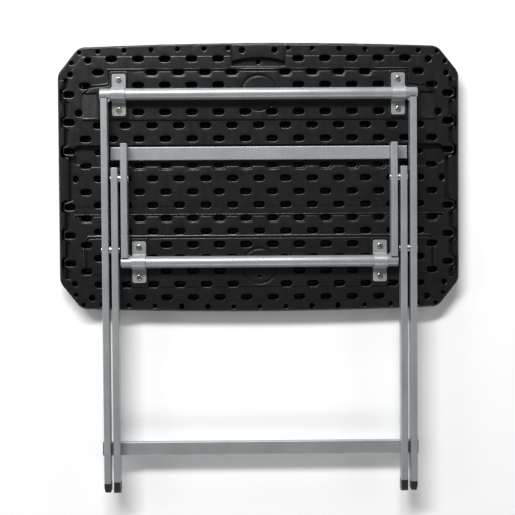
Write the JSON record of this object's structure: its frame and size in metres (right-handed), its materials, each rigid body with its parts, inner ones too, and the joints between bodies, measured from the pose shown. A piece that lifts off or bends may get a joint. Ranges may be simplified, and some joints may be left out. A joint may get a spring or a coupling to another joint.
{
  "type": "folding table",
  "caption": "Small folding utility table with a moulded plastic top and a steel cross-leg frame that folds flat under it.",
  "frame": {"origin": "middle of the work surface", "axes": "-Z out of the work surface, +Y from the feet towards the outer hinge tube, +X along the hinge tubes"},
  "size_m": [0.762, 0.8517, 0.0656],
  "materials": {
    "moulded_plastic": "black blow-moulded polyethylene, fine satin grain",
    "cap_plastic": "black moulded plastic, satin",
    "zinc_screw": "bright zinc with a faint yellow tint",
    "steel_fastener": "plain zinc",
    "grey_paint": "silver-grey powder coat, fine grain, semi-gloss"
  },
  "bodies": {
    "brace": {"brace_arm_left": "grey_paint", "brace_arm_right": "grey_paint", "brace_crossbar": "grey_paint", "brace_hinge_tube": "grey_paint", "brace_rivet_inner_left": "steel_fastener", "brace_rivet_inner_right": "steel_fastener", "brace_weld_left": "grey_paint", "brace_weld_right": "grey_paint"},
    "table": {"brace_clamp_left": "grey_paint", "brace_clamp_right": "grey_paint", "brace_clamp_screw_front_left": "zinc_screw", "brace_clamp_screw_front_right": "zinc_screw", "brace_clamp_screw_rear_left": "zinc_screw", "brace_clamp_screw_rear_right": "zinc_screw", "outer_clamp_left": "grey_paint", "outer_clamp_right": "grey_paint", "outer_clamp_screw_front_left": "zinc_screw", "outer_clamp_screw_front_right": "zinc_screw", "outer_clamp_screw_rear_left": "zinc_screw", "outer_clamp_screw_rear_right": "zinc_screw", "table_top": "moulded_plastic"},
    "inner_legs": {"brace_rivet_outer_left": "steel_fastener", "brace_rivet_outer_right": "steel_fastener", "inner_foot_left": "cap_plastic", "inner_foot_right": "cap_plastic", "inner_leg_left": "grey_paint", "inner_leg_right": "grey_paint"},
    "outer_legs": {"cross_rivet_left": "steel_fastener", "cross_rivet_right": "steel_fastener", "cross_spacer_left": "steel_fastener", "cross_spacer_right": "steel_fastener", "outer_foot_left": "cap_plastic", "outer_foot_right": "cap_plastic", "outer_hinge_tube": "grey_paint", "outer_leg_left": "grey_paint", "outer_leg_right": "grey_paint", "outer_stretcher": "grey_paint", "outer_weld_left": "grey_paint", "outer_weld_right": "grey_paint", "stretcher_cap_left": "cap_plastic", "stretcher_cap_right": "cap_plastic"}
  },
  "joints": [
    {"name": "outer_legs_fold", "type": "hinge", "parent": "table", "child": "outer_legs", "pos_m": [0, 0.1583, 0.0523], "axis": [-1, 0, 0], "range_deg": [0, 57.11]},
    {"name": "cross_pivot", "type": "hinge", "parent": "outer_legs", "child": "inner_legs", "pos_m": [0, -0.1345, 0.0523], "axis": [-1, 0, 0], "range_deg": [0, 65.51]},
    {"name": "brace_fold", "type": "hinge", "parent": "table", "child": "brace", "pos_m": [0, -0.158, 0.0523], "axis": [1, 0, 0], "range_deg": [0, 57.4]}
  ],
  "couplings": [
    {"joint": "cross_pivot", "follows": "outer_legs_fold", "ratio": 1.1468},
    {"joint": "brace_fold", "follows": "outer_legs_fold", "ratio": 1.0048}
  ]
}
